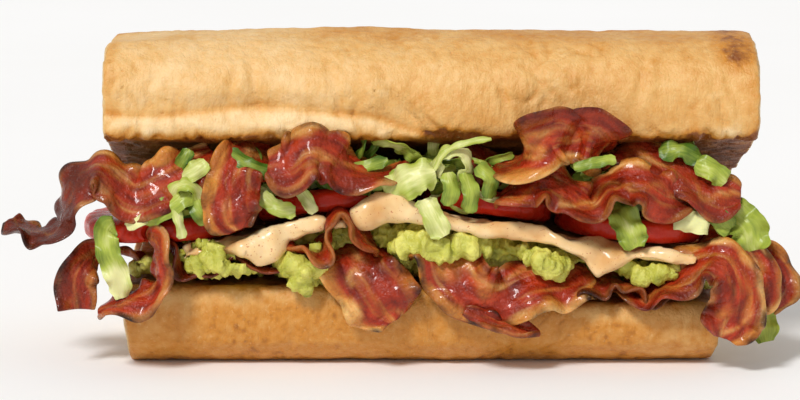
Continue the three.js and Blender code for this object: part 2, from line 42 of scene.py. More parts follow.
# Small helpers, all lengths in millimetres until a vertex is placed
def smooth(t):
    t = min(1.0, max(0.0, t))
    return t * t * (3 - 2 * t)


def mix(a, b, t):
    return a + (b - a) * t


def hump(x, middle, half):
    return smooth(1 - abs(x - middle) / half)


def rough(point, size, seed=0.0):
    return noise.noise(point / size + Vector((seed, -seed, seed * 0.7)))


def bubbly(point, size, seed=0.0):
    nearest = noise.voronoi(point / size + Vector((seed, seed, -seed)))[0][0]
    return 1 - min(1.0, nearest * 1.5) ** 2


def selectOnly(piece):
    if bpy.context.object and bpy.context.object.mode != "OBJECT":
        bpy.ops.object.mode_set(mode="OBJECT")
    bpy.ops.object.select_all(action="DESELECT")
    piece.select_set(True)
    bpy.context.view_layer.objects.active = piece


def applyModifier(piece, kind, **values):
    selectOnly(piece)
    bpy.ops.object.modifier_add(type=kind)
    modifier = piece.modifiers[-1]
    for key, value in values.items():
        setattr(modifier, key, value)
    bpy.ops.object.modifier_apply(modifier=modifier.name)


def outwardFaces(piece):
    selectOnly(piece)
    bpy.ops.object.mode_set(mode="EDIT")
    bpy.ops.mesh.select_all(action="SELECT")
    bpy.ops.mesh.normals_make_consistent(inside=False)
    bpy.ops.object.mode_set(mode="OBJECT")


def copyOfSolid(nodeName, pieceName, voxel, rounds):
    piece = bpy.data.objects.new(pieceName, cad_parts[nodeName].data.copy())
    bpy.context.scene.collection.objects.link(piece)
    piece.data.materials.clear()
    selectOnly(piece)
    bpy.ops.object.mode_set(mode="EDIT")
    bpy.ops.mesh.select_all(action="SELECT")
    bpy.ops.mesh.remove_doubles(threshold=0.01 * mm)
    bpy.ops.object.mode_set(mode="OBJECT")
    applyModifier(piece, "REMESH", mode="VOXEL", voxel_size=voxel * mm)
    applyModifier(piece, "SMOOTH", factor=0.5, iterations=rounds)
    return piece


# Moves every vertex along its normal by move(point, normal) and keeps named masks as attributes.
# Every rule takes both, whether it needs the normal or not.
def reshape(piece, move, masks=None):
    mesh = piece.data
    places, values = [], {name: [] for name in masks or {}}
    for vertex in mesh.vertices:
        point, normal = vertex.co / mm, vertex.normal.copy()
        for name, rule in (masks or {}).items():
            values[name].append(rule(point, normal))
        places.extend((point + normal * move(point, normal)) * mm)
    mesh.vertices.foreach_set("co", places)
    for name, numbers in values.items():
        mesh.attributes.new(name, "FLOAT", "POINT").data.foreach_set("value", numbers)
    mesh.update()


def finishPiece(piece, slotName, material, *nodeNames):
    selectOnly(piece)
    bpy.ops.object.shade_smooth()
    piece.data.materials.clear()
    piece.data.materials.append(material)
    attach(piece, "root")
    if nodeNames:
        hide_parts(*nodeNames)


# Materials
def linear(code):
    parts = [int(code[i:i + 2], 16) / 255 for i in (0, 2, 4)]
    return tuple(c / 12.92 if c < 0.04045 else ((c + 0.055) / 1.055) ** 2.4 for c in parts) + (1.0,)


def addNode(tree, kind, inputs=None, **settings):
    made = tree.nodes.new(kind)
    for key, value in settings.items():
        setattr(made, key, value)
    for key, value in (inputs or {}).items():
        if isinstance(value, bpy.types.NodeSocket):
            tree.links.new(value, made.inputs[key])
        else:
            made.inputs[key].default_value = value
    return made


def colourRamp(tree, mask, stops):
    made = addNode(tree, "ShaderNodeValToRGB", {"Fac": mask})
    elements = made.color_ramp.elements
    for stop in stops[2:]:
        elements.new(stop[0])
    for element, (place, code) in zip(elements, sorted(stops)):
        element.position = place
        element.color = linear(code)
    return made.outputs["Color"]


def mixColours(tree, mask, first, second):
    made = addNode(tree, "ShaderNodeMix", data_type="RGBA")
    for place, value in ((0, mask), (6, first), (7, second)):
        if isinstance(value, bpy.types.NodeSocket):
            tree.links.new(value, made.inputs[place])
        else:
            made.inputs[place].default_value = value
    return made.outputs[2]


def attributeOf(tree, name):
    return addNode(tree, "ShaderNodeAttribute", attribute_name=name).outputs["Fac"]


# Uneven mask between two noise levels, for mottling, streaks, spots and pores
def buildUnevenMask():
    group = bpy.data.node_groups.new("unevenMask", "ShaderNodeTree")
    for name, kind, start in (("Vector", "NodeSocketVector", None), ("Scale", "NodeSocketFloat", 100.0),
                              ("Detail", "NodeSocketFloat", 4.0), ("Low", "NodeSocketFloat", 0.4),
                              ("High", "NodeSocketFloat", 0.6)):
        socket = group.interface.new_socket(name, in_out="INPUT", socket_type=kind)
        if start is not None:
            socket.default_value = start
    group.interface.new_socket("Mask", in_out="OUTPUT", socket_type="NodeSocketFloat")
    inside = group.nodes.new("NodeGroupInput")
    outside = group.nodes.new("NodeGroupOutput")
    cloud = addNode(group, "ShaderNodeTexNoise", {"Vector": inside.outputs["Vector"],
                                                  "Scale": inside.outputs["Scale"],
                                                  "Detail": inside.outputs["Detail"]})
    spread = addNode(group, "ShaderNodeMapRange", {"Value": cloud.outputs[0],
                                                   "From Min": inside.outputs["Low"],
                                                   "From Max": inside.outputs["High"]})
    group.links.new(spread.outputs[0], outside.inputs["Mask"])
    return group


unevenMask = buildUnevenMask()


def uneven(tree, place, scale, low, high, detail=4.0):
    made = addNode(tree, "ShaderNodeGroup", node_tree=unevenMask)
    tree.links.new(place, made.inputs["Vector"])
    for name, value in (("Scale", scale), ("Detail", detail), ("Low", low), ("High", high)):
        made.inputs[name].default_value = value
    return made.outputs["Mask"]


def maths(tree, operation, first, second):
    made = addNode(tree, "ShaderNodeMath", operation=operation)
    for place, value in ((0, first), (1, second)):
        if isinstance(value, bpy.types.NodeSocket):
            tree.links.new(value, made.inputs[place])
        else:
            made.inputs[place].default_value = value
    return made.outputs[0]


def newMaterial(name):
    material = bpy.data.materials.new(name)
    material.use_nodes = True
    tree = material.node_tree
    tree.nodes.clear()
    shader = addNode(tree, "ShaderNodeBsdfPrincipled")
    output = addNode(tree, "ShaderNodeOutputMaterial")
    tree.links.new(shader.outputs[0], output.inputs["Surface"])
    coords = addNode(tree, "ShaderNodeTexCoord")
    return material, tree, shader, coords


def bump(tree, shader, height, strength, distance):
    made = addNode(tree, "ShaderNodeBump", {"Height": height, "Strength": strength,
                                            "Distance": distance * mm})
    tree.links.new(made.outputs[0], shader.inputs["Normal"])


# The roll
roll = {
    "voxel": 1.15, "rounds": 9, "halfLength": 100, "cutLeft": 26, "cutRight": 20.5,
    "lip": 71, "seam": 80, "baseLeft": 93.6, "baseRight": 88.2, "leanHeight": 76,
    "crustPale": "F2D3A0", "crustGold": "DFAD66", "crustDeep": "C98326", "crustEdge": "834409",
    "flour": "F3D29A", "crumbPale": "E6C486", "crumbGold": "D2A768",
    "toastPale": "B2722E", "toast": "94501B", "toastAndShadeDark": "64300E",
    # creases in the crust: x, z, lean, length, depth
    "folds": [
        (-77, 82, 0.1, 12, 0.7), (-60, 88, -0.15, 12, 0.8), (-53, 86, 0.2, 14, 0.8), (-28, 83, 0.25, 14, 0.9),
        (-7, 80, 0.75, 13, 1.2), (-3, 79, 1.3, 9, 0.8), (22, 84, 0.1, 10, 0.8), (33, 88, 0.3, 8, 0.6),
        (47, 84, 0.35, 10, 0.8), (63, 88, -0.2, 12, 0.9), (87, 81, 0.3, 12, 1.1), (-78, 15, 0.1, 12, 0.9),
        (-43, 8, -0.3, 7, 0.5), (38, 12, -0.15, 9, 0.7), (2, 9, 0.2, 8, 0.6),
    ],
}


def lowerEdge(x):
    return mix(roll["cutLeft"], roll["cutRight"], smooth((x + 30) / 85))


def seamLine(x):
    return roll["seam"] - 9 * smooth((x + 22) / 30) + 1.2 * math.sin(x / 11)


def endReach(x, z):
    return mix(roll["baseLeft"] if x < 0 else roll["baseRight"], roll["halfLength"],
               smooth(z / roll["leanHeight"]))


def atEnd(p, n):
    return smooth((abs(n.x) - 0.55) / 0.3) * smooth((abs(p.x) - endReach(p.x, p.z) + 5) / 3)


def inSlit(p, n):
    within = smooth((26.5 - p.y) / 2) * smooth((p.y + 35.5) / 3)
    return within * smooth((p.z - lowerEdge(p.x) + 2.5) / 2) * smooth((roll["lip"] + 1 - p.z) / 2)


# Crust tone, higher is darker: baked colour together with painted shade and painted highlight.
def bakeAndShadeTone(p, n):
    tone = 0.3 + 0.12 * rough(p, 30, 3) + 0.12 * rough(p, 9, 5) + 0.08 * rough(p, 3.5, 9)
    tone += 0.17 * smooth((p.x + 60) / 70)
    tone += 0.25 * smooth((p.z - 97) / 5) * (0.5 + rough(p, 14, 2))
    tone += 0.25 * smooth((abs(p.x) - 92) / 8) * smooth((p.z - 60) / 20) * smooth(0.6 + rough(p, 9, 6))
    tone += 0.45 * hump(p.x, 92, 9) * hump(p.z, 97, 8)
    tone -= 0.5 * hump(p.x, 90.5, 6) * hump(p.z, 73, 4)
    # Lower half darker overall, in part its baked colour and in part painted shade under the top half.
    if p.y < 0 and p.z < 30:
        tone += 0.4 + 0.1 * hump(p.x, 5, 40) - 0.26 * smooth((p.x - 35) / 30)
        # Painted highlight along the top edge of the lower half, and painted shade towards its bottom.
        tone -= 0.18 * hump(p.z, lowerEdge(p.x) - 3, 5)
        tone = min(0.7, tone + 0.12 * smooth((6 - p.z) / 6))
    front = smooth((-p.y - 25) / 6)
    if p.z > roll["lip"] - 3:
        below = seamLine(p.x) - p.z
        left = smooth((22 - p.x) / 30)
        tone -= 0.25 * smooth(below / 2) * (1 - smooth((below - 5) / 4)) * left * front
        # Painted shade in the seam crease.
        tone += 0.22 * math.exp(-(below / 1.1) ** 2) * left * front
        # Painted shade on the crust along the lower edge and underside of the top half.
        tone += 0.5 * smooth((roll["lip"] + 4.5 + 3 * rough(p, 7, 4) - p.z) / 4) * front
    if p.y > 0:
        tone += 0.12
    # Painted shade in the crust's creases.
    tone += 0.1 * creases(p)
    return min(1.0, max(0.0, tone))


# Creases where slow noise crosses zero, mostly upright and gathered in patches
def creases(p):
    bent = Vector((p.x / 4.2 + 1.1 * rough(p, 8, 11), p.y / 20, p.z / 17 + 0.4 * rough(p, 10, 13)))
    line = max(0.0, 1 - abs(noise.noise(bent)) * 6)
    return line * smooth((rough(p, 24, 5) + 0.22) * 3.5)


def rollMove(p, n):
    crumb = max(atEnd(p, n), inSlit(p, n))
    front = smooth((-p.y - 22) / 10)
    folds = 0.0
    for x, z, lean, length, depth in roll["folds"]:
        away = (p.x - x) + lean * (p.z - z) + 0.9 * rough(p, 5, 3)
        profile = math.exp(-(away / 1.2) ** 2) - 0.45 * math.exp(-((away - 2.4) / 1.5) ** 2)
        folds += depth * hump(p.z, z, length) * profile
    below = seamLine(p.x) - p.z
    crease = 1.3 * math.exp(-(below / 1.1) ** 2) * smooth((22 - p.x) / 30) * (0.7 + rough(p, 9, 8))
    lip = 0.9 * rough(p, 4.5, 6) * smooth((roll["lip"] + 5 - p.z) / 5) if p.z > roll["lip"] - 3 else 0.0
    crust = 0.22 * rough(p, 3.2, 4) + 0.3 * rough(p, 7, 8) + 0.6 * rough(p, 22, 1)
    upperFront = front * smooth((p.z - 60) / 10)
    crust -= (1.5 * folds + crease - lip) * front + 0.9 * creases(p) * (0.25 + 0.75 * upperFront)
    pores = -0.5 * bubbly(p, 3.4, 2) * smooth((rough(p, 5, 6) + 0.1) * 4) + 0.4 * rough(p, 4, 7)
    return mix(crust, pores - 0.4, crumb)


def crustMaterial():
    material, tree, shader, coords = newMaterial("bakedCrust")
    place = coords.outputs["Object"]
    tone = maths(tree, "ADD", attributeOf(tree, "bakeAndShadeTone"),
                 maths(tree, "MULTIPLY", uneven(tree, place, 420, 0.3, 0.7), 0.16))
    crust = colourRamp(tree, tone, [(0.05, roll["crustPale"]), (0.5, roll["crustGold"]),
                                    (0.82, roll["crustDeep"]), (1.0, roll["crustEdge"])])
    flour = uneven(tree, place, 900, 0.6, 0.78)
    crust = mixColours(tree, maths(tree, "MULTIPLY", flour, 0.3), crust, linear(roll["flour"]))
    # Toasted cut face inside the slit; its dark browns are in part painted shade of the slit.
    toastedAndShaded = colourRamp(tree, uneven(tree, place, 160, 0.3, 0.72),
                         [(0.0, roll["toastAndShadeDark"]), (0.7, roll["toast"]), (1.0, roll["toastPale"])])
    fresh = colourRamp(tree, uneven(tree, place, 300, 0.3, 0.62),
                       [(0.0, roll["crumbGold"]), (1.0, roll["crumbPale"])])
    colour = mixColours(tree, attributeOf(tree, "inSlit"), crust, toastedAndShaded)
    colour = mixColours(tree, attributeOf(tree, "atEnd"), colour, fresh)
    tree.links.new(colour, shader.inputs["Base Color"])
    gloss = addNode(tree, "ShaderNodeMapRange", {"Value": tone, "To Min": 0.6, "To Max": 0.42})
    tree.links.new(gloss.outputs[0], shader.inputs["Roughness"])
    shader.inputs["Subsurface Weight"].default_value = 0.08
    shader.inputs["Subsurface Radius"].default_value = (2 * mm, 1 * mm, 0.5 * mm)
    upright = addNode(tree, "ShaderNodeMapping", {"Vector": place, "Scale": (1, 1, 0.3)})
    wrinkled = addNode(tree, "ShaderNodeMath", {0: uneven(tree, upright.outputs[0], 260, 0.2, 0.8, 5.0),
                                                1: 0.5}, operation="SUBTRACT")
    wrinkled = addNode(tree, "ShaderNodeMath", {0: wrinkled.outputs[0]}, operation="ABSOLUTE")
    skin = maths(tree, "ADD", maths(tree, "MULTIPLY", wrinkled.outputs[0], 2.2),
                 maths(tree, "MULTIPLY", uneven(tree, place, 1500, 0.3, 0.7), 0.3))
    bump(tree, shader, skin, 0.6, 0.6)
    return material


def makeRoll():
    piece = copyOfSolid("roll", "rollBread", roll["voxel"], roll["rounds"])
    reshape(piece, rollMove, {"bakeAndShadeTone": bakeAndShadeTone, "inSlit": inSlit, "atEnd": atEnd})
    finishPiece(piece, "crust", crustMaterial(), "roll")
    print("roll", len(piece.data.polygons))


# Bands: bacon strips and shreds of leaf follow a path of (x, y, z, turn) points.
# Turn 0 shows only the front edge to the viewer, and 90 shows the whole face.
def alongPath(points, t):
    last = len(points) - 1
    place = t * last
    i = min(int(place), last - 1)
    w = place - i
    a, b = points[i], points[i + 1]
    before = points[i - 1] if i > 0 else [2 * p - q for p, q in zip(a, b)]
    after = points[i + 2] if i + 2 <= last else [2 * q - p for p, q in zip(a, b)]
    result = []
    for p0, p1, p2, p3 in zip(before, a, b, after):
        m1, m2 = (p2 - p0) * 0.5, (p3 - p1) * 0.5
        result.append((2 * p1 - 2 * p2 + m1 + m2) * w ** 3 + (-3 * p1 + 3 * p2 - 2 * m1 - m2) * w ** 2
                      + m1 * w + p1)
    return result


def pathLength(points):
    spots = [Vector(alongPath(points, i / 60)[:3]) for i in range(61)]
    return sum((b - a).length for a, b in zip(spots, spots[1:]))


def bandFrame(points, t):
    x, y, z, turn = alongPath(points, t)
    step = 1e-4
    ahead, behind = alongPath(points, min(1, t + step)), alongPath(points, max(0, t - step))
    along = (Vector(ahead[:3]) - Vector(behind[:3])).normalized()
    toFront = Vector((0, -1, 0))
    toFront = (toFront - along * along.dot(toFront)).normalized()
    side = along.cross(toFront)
    wide = toFront * math.cos(math.radians(turn)) + side * math.sin(math.radians(turn))
    return Vector((x, y, z)), along, wide, wide.cross(along)


def bandRails(points, columns, rows, halfWidth, lift, leastAdvance):
    rails = []
    for i in range(columns + 1):
        t = i / columns
        centre, along, wide, normal = bandFrame(points, t)
        rail = []
        for j in range(rows + 1):
            v = 2 * j / rows - 1
            rail.append(centre + wide * (v * halfWidth(t, v)) + normal * lift(t, v))
        if rails:
            ahead = bandFrame(points, t - 0.5 / columns)[1]
            for j, point in enumerate(rail):
                advance = (point - rails[-1][j]).dot(ahead)
                if advance < leastAdvance:
                    rail[j] = point + ahead * (leastAdvance - advance)
        rails.append(rail)
    return rails


def addBand(name, points, columns, rows, halfWidth, lift, patternLength, patternStart):
    bpy.ops.mesh.primitive_grid_add(x_subdivisions=columns, y_subdivisions=rows, size=2, calc_uvs=True)
    piece = bpy.context.object
    piece.name = name
    rails = bandRails(points, columns, rows, halfWidth, lift, 0.25 * pathLength(points) / columns)
    places, across = [], []
    for vertex in piece.data.vertices:
        i = round((vertex.co.x + 1) / 2 * columns)
        j = round((vertex.co.y + 1) / 2 * rows)
        places.extend(rails[i][j] * mm)
        across.append(2 * j / rows - 1)
    piece.data.vertices.foreach_set("co", places)
    for loop in piece.data.uv_layers.active.data:
        loop.uv = (loop.uv[0] * pathLength(points) / patternLength + patternStart, loop.uv[1])
    piece.data.update()
    return piece, across


# Bacon
bacon = {
    "thickness": 2.3, "columnLength": 0.85, "rows": 16,
    "lean": "9B2A10", "leanDark": "62170A", "leanBright": "C64320", "cooked": "5A1D09", "char": "260C04",
    "fatDark": "A1551E", "fat": "CD8537", "fatPale": "EFBD74", "rimRipple": 1.7, "buckle": 0.9,
    "strips": {
        "bacon_low_fold_left": dict(width=14, ruffle=0.8, cup=-1, fat=1, fatShare=0.6, path=[
            (-101, -41, 19, 32), (-93.5, -43.5, 22, 27), (-86.5, -44.5, 23.5, 24), (-82.5, -44.5, 27, 28),
            (-81.5, -43, 32.5, 32), (-82.5, -41, 38, 28), (-85, -35, 39.5, 20)]),
        "bacon_low_slab": dict(width=24, ruffle=1.4, waves=1.2, cup=-1.2, fat=1, path=[
            (-30, -25, 36, 20), (-25, -35, 35, 50), (-20, -41.5, 29.5, 78), (-15, -43.5, 22.5, 90),
            (-11, -43, 16.5, 95)]),
        "bacon_low_wave": dict(width=20, ruffle=2.4, waves=1.8, fat=1, path=[
            (-1, -27, 38, 20), (3, -37, 36.5, 55), (8, -42.5, 29.5, 80), (15, -44.5, 24.5, 80),
            (22, -43.5, 24, 72), (31, -41, 27, 60), (41, -37, 27.5, 40), (49, -32, 28.5, 20)]),
        "bacon_low_tail": dict(width=6, ruffle=0.5, fat=1, fatShare=0.4, cooked=0.3, path=[
            (10, -46.5, 20.5, 60), (17, -47, 17.5, 50), (25, -46, 14.5, 40), (33, -44.5, 13, 30)]),
        "bacon_low_arch": dict(width=18, ruffle=0.8, cup=1, fat=-1, path=[
            (58, -30, 24.5, 10), (67, -37, 25, 25), (75, -41, 29, 25), (83, -44, 35, 35),
            (90, -46, 33, 60), (92.5, -47, 25, 80), (91, -46, 17, 90), (89, -44.5, 11, 95)]),
        "bacon_low_arch_behind": dict(width=15, ruffle=0.8, cup=1, fat=-1, path=[
            (78, -28, 35, 10), (86, -34, 39, 30), (93, -37, 38.5, 55), (98, -38, 32, 80),
            (99, -38, 25, 90), (97, -36, 19, 95)]),
        "bacon_low_curl_right": dict(width=13, cup=1.4, fat=-1, path=[
            (92, -22, 30, 20), (99, -27, 31.5, 40), (105, -31, 31, 65), (107, -33, 25, 80),
            (103, -33, 18, 90)]),
        "bacon_low_hanging_left": dict(width=12.5, cup=1.5, fat=-1, fatShare=0.6, cooked=0.15, endShare=0.9,
                                       path=[
            (-90, -22, 32, 10), (-97, -29, 34.5, 30), (-103.5, -34, 35, 60), (-108, -37, 28.5, 80),
            (-108, -37, 18.5, 88)]),
        "bacon_low_curl": dict(width=15, ruffle=0.6, fat=1, fatShare=0.5, cooked=0.2, path=[
            (-43, -38, 40, 5), (-38, -39, 37, 5), (-33, -40, 36, 5), (-31.5, -40, 41, 5),
            (-31, -40, 46, 5), (-27.5, -40, 49.5, 5), (-23.5, -40, 47, 5), (-21, -39, 41, 5),
            (-17, -36, 36.5, 5)]),
        "bacon_low_ribbon_left": dict(width=19, ruffle=0.6, fat=-1, fatShare=0.5, cooked=0.45, path=[
            (-80, -32, 41, 10), (-77.5, -33, 35, 8), (-74, -33, 30, 6), (-68, -33, 31, 4),
            (-60, -33, 34.5, 4), (-53, -33, 34, 4), (-46, -31, 30.5, 4), (-40, -28, 28.8, 4)]),
        "bacon_low_ribbon_right": dict(width=19, ruffle=0.5, fat=1, fatShare=0.4, cooked=0.55, path=[
            (38, -32, 23.5, 4), (45, -33, 23, 4), (51, -34, 26, 4), (56, -34, 27, 4),
            (61, -34, 25.5, 4), (66, -33, 22.8, 4), (75, -31, 22.8, 4)]),
        "bacon_top_left": dict(darkLeftOf=-97, width=18, ruffle=0.8, waves=1.5, fat=-1, path=[
            (-128.5, -31, 45.5, 12), (-124, -33, 43, 10), (-119, -34.5, 41.5, 10), (-113.5, -36, 43.5, 16),
            (-110, -37, 51, 30), (-106, -37.5, 58.5, 28), (-100.5, -38, 62, 30), (-95, -38.5, 58, 45),
            (-89.5, -39, 54.5, 62), (-82, -39, 57, 70), (-74, -37, 62, 62), (-66, -30, 66, 45)]),
        "bacon_top_tongue": dict(width=17.5, ruffle=1, cup=-1.4, fat=-1, path=[
            (-44, -22, 62, -10), (-51, -31, 65, -40), (-58, -38.5, 64, -75), (-60, -43, 57, -90),
            (-60, -45, 50, -92), (-58, -44.5, 44.5, -95)]),
        "bacon_top_crest": dict(width=19, ruffle=1.2, waves=1.4, fat=-1, path=[
            (-49, -42, 64, 62), (-43, -44.5, 64.5, 66), (-36.5, -45, 68.5, 58), (-30.5, -43.5, 67, 45),
            (-25, -41, 62.5, 35), (-18, -37, 61.5, 25), (-9, -31, 63, 15)]),
        "bacon_top_upright": dict(width=18, ruffle=0.6, cup=2, fat=1, path=[
            (20, -33, 63, 5), (25, -39, 64.5, 12), (29, -45, 67.5, 50), (33, -48.5, 72.5, 85),
            (37, -48.5, 74, 92), (40.5, -45, 73.5, 92), (42.5, -42.5, 73, 92), (45, -45, 73.5, 95),
            (48, -46.5, 73, 95), (50.5, -43.5, 71, 80), (51.5, -37, 67.5, 50), (51, -30, 64.5, 20)]),
        "bacon_top_wave": dict(width=17, ruffle=0.6, waves=2.5, fat=-1, path=[
            (20, -36, 53, 15), (26, -41.5, 56.5, 28), (31, -43, 59, 30), (36, -43.5, 59, 36),
            (41, -44, 55.5, 38), (46, -45, 52.5, 36), (50, -44.5, 53, 32), (54, -43.5, 56.5, 28),
            (59, -43, 59, 36), (65, -43, 58, 50), (71, -42, 54.5, 55), (78, -38, 52.5, 45)]),
        "bacon_top_right": dict(width=17, ruffle=1, waves=2, fat=-1, cooked=0.15, path=[
            (50, -25, 63, 15), (58, -29, 66, 25), (65, -32, 66, 40), (72, -35, 63, 52),
            (80, -37.5, 58, 55), (87, -38, 54.5, 50), (94, -37, 53.5, 45)]),
        "bacon_top_middle": dict(width=13, ruffle=0.8, fat=-1, fatShare=0.4, cooked=0.6, path=[
            (5, -20, 65, 10), (11, -26, 66, 20), (17, -31, 62, 50), (18, -33, 56, 70)]),
    },
}


def baconMaterial():
    material, tree, shader, coords = newMaterial("friedBacon")
    uv, place = coords.outputs["UV"], coords.outputs["Object"]
    stretch = addNode(tree, "ShaderNodeMapping", {"Vector": uv, "Scale": (0.6, 3.4, 1)})
    fine = addNode(tree, "ShaderNodeMapping", {"Vector": uv, "Scale": (1.3, 3.2, 1)})
    cross = addNode(tree, "ShaderNodeMapping", {"Vector": uv, "Scale": (16, 3, 1)})
    leanTone = uneven(tree, fine.outputs[0], 2.0, 0.28, 0.74, 6.0)
    lean = colourRamp(tree, leanTone, [(0.0, bacon["leanDark"]), (0.5, bacon["lean"]),
                                       (1.0, bacon["leanBright"])])
    fat = colourRamp(tree, uneven(tree, fine.outputs[0], 1.4, 0.3, 0.7, 5.0),
                     [(0.0, bacon["fatDark"]), (0.5, bacon["fat"]), (1.0, bacon["fatPale"])])
    streaks = maths(tree, "MULTIPLY", uneven(tree, stretch.outputs[0], 1.3, 0.54, 0.68, 4.0), 0.6)
    fatty = maths(tree, "MAXIMUM", maths(tree, "MULTIPLY", streaks, attributeOf(tree, "fatShare")),
                  attributeOf(tree, "fatRim"))
    colour = mixColours(tree, fatty, lean, fat)
    cooked = maths(tree, "MULTIPLY", attributeOf(tree, "cooked"), uneven(tree, place, 70, 0.2, 0.6, 4.0))
    colour = mixColours(tree, cooked, colour, linear(bacon["cooked"]))
    seared = maths(tree, "MULTIPLY", attributeOf(tree, "searedRim"), uneven(tree, place, 170, 0.35, 0.6, 5.0))
    colour = mixColours(tree, seared, colour, linear(bacon["char"]))
    tree.links.new(colour, shader.inputs["Base Color"])
    wet = addNode(tree, "ShaderNodeMapRange", {"Value": uneven(tree, place, 240, 0.35, 0.65, 3.0),
                                               "To Min": 0.16, "To Max": 0.4})
    tree.links.new(wet.outputs[0], shader.inputs["Roughness"])
    shader.inputs["Subsurface Weight"].default_value = 0.2
    shader.inputs["Subsurface Radius"].default_value = (1.8 * mm, 0.5 * mm, 0.2 * mm)
    shader.inputs["Specular IOR Level"].default_value = 0.22
    shader.inputs["Coat Weight"].default_value = 0.2
    shader.inputs["Coat Roughness"].default_value = 0.08
    blisters = maths(tree, "ADD", uneven(tree, place, 650, 0.3, 0.7, 4.0),
                     maths(tree, "ADD", maths(tree, "MULTIPLY", leanTone, 0.4),
                           maths(tree, "MULTIPLY", uneven(tree, cross.outputs[0], 1.2, 0.3, 0.7, 3.0), 0.2)))
    bump(tree, shader, blisters, 0.7, 0.5)
    return material


def makeStrip(name, shape, order, material):
    points, width = shape["path"], shape["width"]
    cup, ruffle, waves = shape.get("cup", 0), shape.get("ruffle", 0), shape.get("waves", 2)
    share = shape.get("fatShare", 1)
    length = pathLength(points)
    columns = round(length / bacon["columnLength"])
    seed = order * 7.3
    draw = random.Random(order + 5)
    ripple = [draw.uniform(8, 12), draw.uniform(9, 14)]  # length of a rim's ripples
    phase = [draw.uniform(0, 6), draw.uniform(0, 6)]
    buckle = draw.uniform(15, 21)

    def halfWidth(t, v):
        toEnd = min(t, 1 - t) * length
        ends = mix(shape.get("endShare", 0.45), 1, smooth(toEnd / 7) ** 0.6)
        nicks = 1 + 0.1 * noise.noise(Vector((t * length / 5, v, seed))) * abs(v)
        return width / 2 * ends * (1 + 0.06 * math.sin(9 * t)) * nicks

    def lift(t, v):
        side = 0 if v < 0 else 1
        rim = smooth((abs(v) - 0.3) / 0.7)
        bent = cup * (v * v - 0.4) + ruffle * v * math.sin(2 * math.pi * waves * t)
        here = 2 * math.pi * t * length
        rippled = rim * math.sin(here / ripple[side] + phase[side]) * bacon["rimRipple"]
        rippled += bacon["buckle"] * math.sin(here / buckle + phase[0] + 1.6 * v) * (0.35 + 0.65 * abs(v))
        spot = Vector((t * length, v * width / 2, seed))
        crosswise = Vector((t * length / 1.5, v * width / 9, seed))
        fine = 0.75 * rough(spot, 5) + 0.4 * rough(spot, 2.2, 3) + 0.22 * noise.noise(crosswise)
        return bent + rippled + fine

    piece, across = addBand(name + "_strip", points, columns, bacon["rows"], halfWidth, lift, 20, seed)
    group = piece.vertex_groups.new(name="fatDepth")
    masks = {"fatRim": [], "searedRim": [], "cooked": [], "fatShare": []}
    for vertex, v in zip(piece.data.vertices, across):
        spot = vertex.co / mm
        wander = 0.45 * noise.noise(Vector((spot.x / 8, spot.z / 8, seed)))
        toFat = v * shape["fat"] + wander
        rim = smooth((toFat - 0.56) / 0.26) * share
        middle = 0.8 * math.exp(-((toFat + 0.12 + wander) / 0.13) ** 2) * smooth(0.6 + rough(spot, 9, seed))
        thin = smooth((-toFat - 0.88) / 0.12) * 0.6
        masks["fatRim"].append(max(rim, share * max(middle, thin)))
        masks["searedRim"].append(smooth((abs(v) - 0.74) / 0.2) * smooth(0.6 + 1.4 * noise.noise(spot / 9)))
        darkEnd = 1.2 * smooth((shape.get("darkLeftOf", -200) - spot.x) / 14)
        patches = 0.3 * smooth(0.3 + rough(spot, 14, seed))
        leanSide = 0.4 * smooth((-toFat - 0.1) / 0.7)
        masks["cooked"].append(shape.get("cooked", 0) + darkEnd + patches + leanSide)
        masks["fatShare"].append(share)
        edge = smooth((1 - abs(v)) / 0.2)
        depth = mix(0.28, 0.72 + 0.22 * rim + 0.12 * rough(spot, 3, seed), edge)
        group.add([vertex.index], min(1, depth), "REPLACE")
    for maskName, numbers in masks.items():
        piece.data.attributes.new(maskName, "FLOAT", "POINT").data.foreach_set("value", numbers)
    applyModifier(piece, "SOLIDIFY", thickness=bacon["thickness"] * mm, offset=0,
                  vertex_group="fatDepth", use_even_offset=False)
    outwardFaces(piece)
    applyModifier(piece, "SUBSURF", levels=1, render_levels=1)
    piece.vertex_groups.clear()
    finishPiece(piece, "bacon", material, name)
    return piece


def makeBacon():
    material = baconMaterial()
    total = 0
    for order, (name, shape) in enumerate(bacon["strips"].items()):
        total += len(makeStrip(name, shape, order, material).data.polygons)
    print("bacon", total)


# Tomato
tomato = {
    "voxel": 0.7, "rounds": 5, "skin": "C02110", "skinBright": "DC3A1C",
    "fleshDark": "9A1A0C", "flesh": "C0321A", "fleshPale": "DC6A44",
    # each slice's middle and radius
    "slices": {"tomato_slice_1": (-81.5, -12.5, 26.5), "tomato_slice_2": (-29, -14, 25),
               "tomato_slice_3": (17.2, -17, 20.5), "tomato_slice_4": (63.5, -14.5, 25)},
}


def tomatoMaterial():
    material, tree, shader, coords = newMaterial("tomatoFlesh")
    place = coords.outputs["Object"]
    flesh = colourRamp(tree, uneven(tree, place, 190, 0.35, 0.68, 5.0),
                       [(0.0, tomato["fleshDark"]), (0.5, tomato["flesh"]), (1.0, tomato["fleshPale"])])
    skin = colourRamp(tree, uneven(tree, place, 90, 0.3, 0.7, 3.0),
                      [(0.0, tomato["skin"]), (1.0, tomato["skinBright"])])
    colour = mixColours(tree, attributeOf(tree, "skinMask"), flesh, skin)
    tree.links.new(colour, shader.inputs["Base Color"])
    wet = addNode(tree, "ShaderNodeMapRange", {"Value": uneven(tree, place, 300, 0.35, 0.6, 3.0),
                                               "To Min": 0.12, "To Max": 0.34})
    tree.links.new(wet.outputs[0], shader.inputs["Roughness"])
    shader.inputs["Specular IOR Level"].default_value = 0.28
    shader.inputs["Subsurface Weight"].default_value = 0.2
    shader.inputs["Subsurface Radius"].default_value = (2.5 * mm, 0.8 * mm, 0.4 * mm)
    bump(tree, shader, uneven(tree, place, 700, 0.3, 0.7, 4.0), 0.25, 0.3)
    return material


